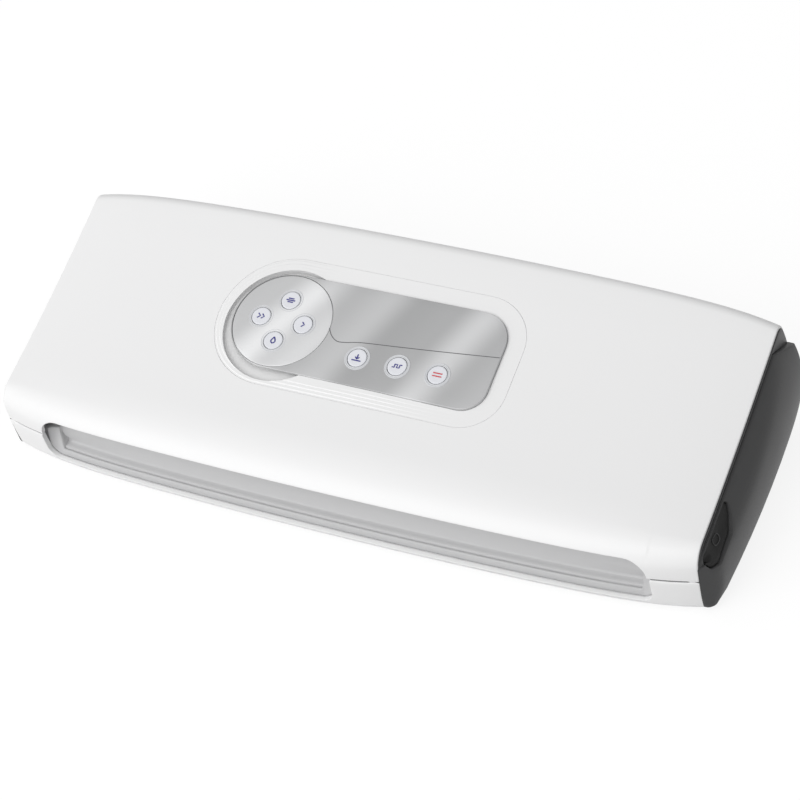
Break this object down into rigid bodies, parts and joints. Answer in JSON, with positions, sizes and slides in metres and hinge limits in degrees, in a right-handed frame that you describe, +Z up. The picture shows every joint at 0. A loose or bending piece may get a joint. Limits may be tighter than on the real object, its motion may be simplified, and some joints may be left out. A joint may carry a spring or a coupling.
{
  "type": "vacuum sealer",
  "caption": "Countertop vacuum sealer: wedge-shaped white housing, hinged lid with a round key pad on a silver panel, front scoop for the bag mouth, dark end caps with release buttons.",
  "frame": {"origin": "centre of the footprint, on the table", "axes": "+X towards the right end cap, +Y towards the back (hinge side), +Z up"},
  "size_m": [0.382, 0.146, 0.0755],
  "materials": {
    "white_shell": "satin",
    "grey_scoop": "satin",
    "dark_trim": "satin",
    "black_plastic": "fine texture",
    "grey_plastic": "matte",
    "foam": "closed-cell foam",
    "steel": "plain",
    "tape": "woven",
    "tube": "smooth",
    "board": "laminate",
    "feet": "matte",
    "strip_rubber": "matte",
    "silver_panel": "circular brushed",
    "pale_keys": "soft"
  },
  "bodies": {
    "base": {"base_tub": "white_shell", "front_scoop": "grey_scoop", "deck": "white_shell", "end_cap_left": "dark_trim", "end_cap_right": "dark_trim", "vacuum_trough": "white_shell", "air_nozzle": "black_plastic", "lower_foam_seal": "foam", "seal_bar": "black_plastic", "heating_element": "steel", "release_tape": "tape", "hinge_bracket_left": "steel", "hinge_bracket_right": "steel", "hinge_pins": "steel", "spring_posts": "grey_plastic", "release_spring_left": "steel", "release_spring_right": "steel", "hinge_screws": "steel", "pump_head": "black_plastic", "pump_motor": "steel", "pump_bracket": "steel", "air_tube": "tube", "bleed_valve": "black_plastic", "transformer": "steel", "power_board": "board", "lid_switch": "black_plastic", "cord_gland": "black_plastic", "rubber_feet": "feet", "case_screws": "steel"},
    "lid": {"lid_shell": "white_shell", "lid_strip_left": "dark_trim", "lid_strip_right": "dark_trim", "lid_liner": "grey_plastic", "lid_hinge_arms": "white_shell", "upper_foam_seal": "foam", "press_strip": "strip_rubber", "latch_hooks": "black_plastic", "panel_bezel": "white_shell", "control_panel": "silver_panel", "key_disc": "silver_panel", "key_board": "board"},
    "release_left": {"release_left": "black_plastic"},
    "release_right": {"release_right": "black_plastic"},
    "key_dry": {"key_dry": "pale_keys"},
    "key_moist": {"key_moist": "pale_keys"},
    "key_fast": {"key_fast": "pale_keys"},
    "key_slow": {"key_slow": "pale_keys"},
    "key_vacuum": {"key_vacuum": "pale_keys"},
    "key_pulse": {"key_pulse": "pale_keys"},
    "key_seal": {"key_seal": "pale_keys"}
  },
  "joints": [
    {"name": "lid_hinge", "type": "hinge", "parent": "base", "child": "lid", "pos_m": [0, 0.057, 0.058], "axis": [-1, 0, 0], "range_deg": [0, 58]},
    {"name": "release_left_slide", "type": "slide", "parent": "base", "child": "release_left", "axis": [1, 0, 0], "range_m": [0, 0.003], "stiffness_N_per_m": 800, "deforming": ["release_spring_left"]},
    {"name": "release_right_slide", "type": "slide", "parent": "base", "child": "release_right", "axis": [-1, 0, 0], "range_m": [0, 0.003], "stiffness_N_per_m": 800, "deforming": ["release_spring_right"]},
    {"name": "key_dry_press", "type": "slide", "parent": "lid", "child": "key_dry", "axis": [0, 0.2314, -0.9729], "range_m": [0, 0.0008], "stiffness_N_per_m": 500},
    {"name": "key_moist_press", "type": "slide", "parent": "lid", "child": "key_moist", "axis": [0, 0.2314, -0.9729], "range_m": [0, 0.0008], "stiffness_N_per_m": 500},
    {"name": "key_fast_press", "type": "slide", "parent": "lid", "child": "key_fast", "axis": [0, 0.2314, -0.9729], "range_m": [0, 0.0008], "stiffness_N_per_m": 500},
    {"name": "key_slow_press", "type": "slide", "parent": "lid", "child": "key_slow", "axis": [0, 0.2314, -0.9729], "range_m": [0, 0.0008], "stiffness_N_per_m": 500},
    {"name": "key_vacuum_press", "type": "slide", "parent": "lid", "child": "key_vacuum", "axis": [0, 0.2314, -0.9729], "range_m": [0, 0.0008], "stiffness_N_per_m": 500},
    {"name": "key_pulse_press", "type": "slide", "parent": "lid", "child": "key_pulse", "axis": [0, 0.2314, -0.9729], "range_m": [0, 0.0008], "stiffness_N_per_m": 500},
    {"name": "key_seal_press", "type": "slide", "parent": "lid", "child": "key_seal", "axis": [0, 0.2314, -0.9729], "range_m": [0, 0.0008], "stiffness_N_per_m": 500}
  ]
}
